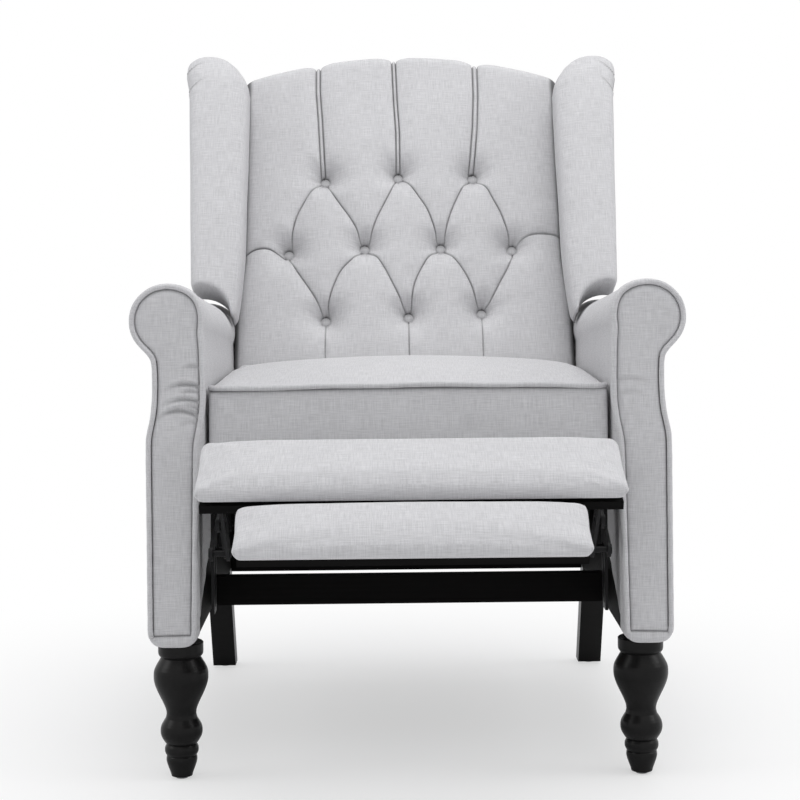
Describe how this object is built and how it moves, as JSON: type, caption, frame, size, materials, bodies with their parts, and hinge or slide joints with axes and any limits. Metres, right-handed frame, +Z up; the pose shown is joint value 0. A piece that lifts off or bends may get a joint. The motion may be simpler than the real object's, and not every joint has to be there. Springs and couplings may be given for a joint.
{
  "type": "recliner",
  "caption": "Push-back wing recliner with rolled arms, tufted back, turned front legs and a folding two-pad footrest.",
  "frame": {"origin": "on the floor, under the middle of the whole chair with its footrest out", "axes": "+X across the chair to the sitter's left, +Y to the rear, +Z up"},
  "size_m": [0.705, 1.0997, 0.9811],
  "materials": {
    "linen": "woven, light grey, heathered",
    "black_wood": "satin black lacquer",
    "raw_wood": "sawn, unfinished",
    "black_steel": "black enamel",
    "bright_steel": "zinc plated",
    "black_cloth": "thin non-woven",
    "grey_plastic": "moulded"
  },
  "bodies": {
    "base": {"side_frame_left": "black_wood", "side_frame_right": "black_wood", "corner_blocks": "raw_wood", "arm_pad_left": "linen", "arm_pad_right": "linen", "arm_facing_left": "linen", "arm_facing_right": "linen", "outside_arm_panel_left": "linen", "outside_arm_panel_right": "linen", "front_cross_rail": "black_wood", "rear_apron": "black_wood", "rear_apron_cover": "linen", "front_leg_left": "black_wood", "front_leg_right": "black_wood", "rear_leg_left": "black_wood", "rear_leg_right": "black_wood", "glides": "grey_plastic", "hanger_bolts": "bright_steel", "mechanism_rail_left": "black_steel", "mechanism_rail_right": "black_steel", "mechanism_screws": "bright_steel", "base_rivets": "bright_steel"},
    "front_swing": {"front_swing_links": "black_steel"},
    "rear_swing": {"rear_swing_links": "black_steel"},
    "seat": {"seat_side_plate_left": "black_steel", "seat_side_plate_right": "black_steel", "seat_rivets": "bright_steel", "seat_side_rails": "raw_wood", "seat_front_rail": "raw_wood", "seat_rear_rail": "raw_wood", "seat_springs": "bright_steel", "spring_clips": "black_steel", "deck_cloth": "black_cloth", "seat_cushion": "linen"},
    "rear_tongs": {"rear_links": "black_steel", "torque_tube": "black_steel", "rear_link_rivets": "bright_steel"},
    "crossing_tongs": {"crossing_links": "black_steel", "crossing_link_rivets": "bright_steel"},
    "control_tongs": {"control_links": "black_steel"},
    "front_tongs": {"front_links": "black_steel", "front_link_rivets": "bright_steel"},
    "footrest": {"footrest_brackets": "black_steel", "footrest_board": "black_wood", "footrest_pad": "linen", "hinge_leaves_fixed": "bright_steel", "hinge_pins": "bright_steel"},
    "second_footrest": {"hinge_leaves_moving": "bright_steel", "second_board": "black_wood", "second_pad": "linen"},
    "back": {"back_posts": "raw_wood", "back_rails": "raw_wood", "back_webbing": "black_cloth", "back_brackets": "black_steel", "back_pad": "linen", "tuft_buttons": "linen", "back_outside_panel": "linen", "wing_left": "linen", "wing_right": "linen", "wing_boards": "raw_wood"}
  },
  "joints": [
    {"name": "recline", "type": "hinge", "parent": "seat", "child": "back", "pos_m": [0, 0.2496, 0.455], "axis": [-1, 0, 0], "range_deg": [-14, 10]},
    {"name": "front_swing_turn", "type": "hinge", "parent": "base", "child": "front_swing", "pos_m": [0, 0.0576, 0.374], "axis": [-1, 0, 0], "range_deg": [-14, 10]},
    {"name": "seat_level", "type": "hinge", "parent": "front_swing", "child": "seat", "pos_m": [0, 0.0576, 0.264], "axis": [-1, 0, 0], "range_deg": [-10, 14]},
    {"name": "rear_swing_turn", "type": "hinge", "parent": "base", "child": "rear_swing", "pos_m": [0, 0.2126, 0.374], "axis": [-1, 0, 0], "range_deg": [-14, 10]},
    {"name": "footrest_fold", "type": "hinge", "parent": "seat", "child": "rear_tongs", "pos_m": [0, -0.13327, 0.35175], "axis": [1, 0, 0], "range_deg": [0, 46.99]},
    {"name": "crossing_turn", "type": "hinge", "parent": "rear_tongs", "child": "crossing_tongs", "pos_m": [0, -0.19777, 0.32456], "axis": [1, 0, 0], "range_deg": [-93.99, 0]},
    {"name": "control_turn", "type": "hinge", "parent": "crossing_tongs", "child": "control_tongs", "pos_m": [0, -0.25206, 0.36875], "axis": [1, 0, 0], "range_deg": [0, 93.99]},
    {"name": "front_tongs_turn", "type": "hinge", "parent": "rear_tongs", "child": "front_tongs", "pos_m": [0, -0.26228, 0.29737], "axis": [1, 0, 0], "range_deg": [-93.99, 0]},
    {"name": "footrest_tilt", "type": "hinge", "parent": "front_tongs", "child": "footrest", "pos_m": [0, -0.37084, 0.38576], "axis": [1, 0, 0], "range_deg": [0, 116]},
    {"name": "second_pad_fold", "type": "hinge", "parent": "footrest", "child": "second_footrest", "pos_m": [0, -0.45062, 0.36477], "axis": [1, 0, 0], "range_deg": [0, 178]}
  ],
  "couplings": [
    {"joint": "front_swing_turn", "follows": "recline", "ratio": 1},
    {"joint": "seat_level", "follows": "recline", "ratio": -1},
    {"joint": "rear_swing_turn", "follows": "recline", "ratio": 1},
    {"joint": "crossing_turn", "follows": "footrest_fold", "ratio": -2},
    {"joint": "control_turn", "follows": "footrest_fold", "ratio": 2},
    {"joint": "front_tongs_turn", "follows": "footrest_fold", "ratio": -2},
    {"joint": "footrest_tilt", "follows": "footrest_fold", "ratio": 2.4682},
    {"joint": "second_pad_fold", "follows": "footrest_fold", "ratio": 3.7876}
  ]
}
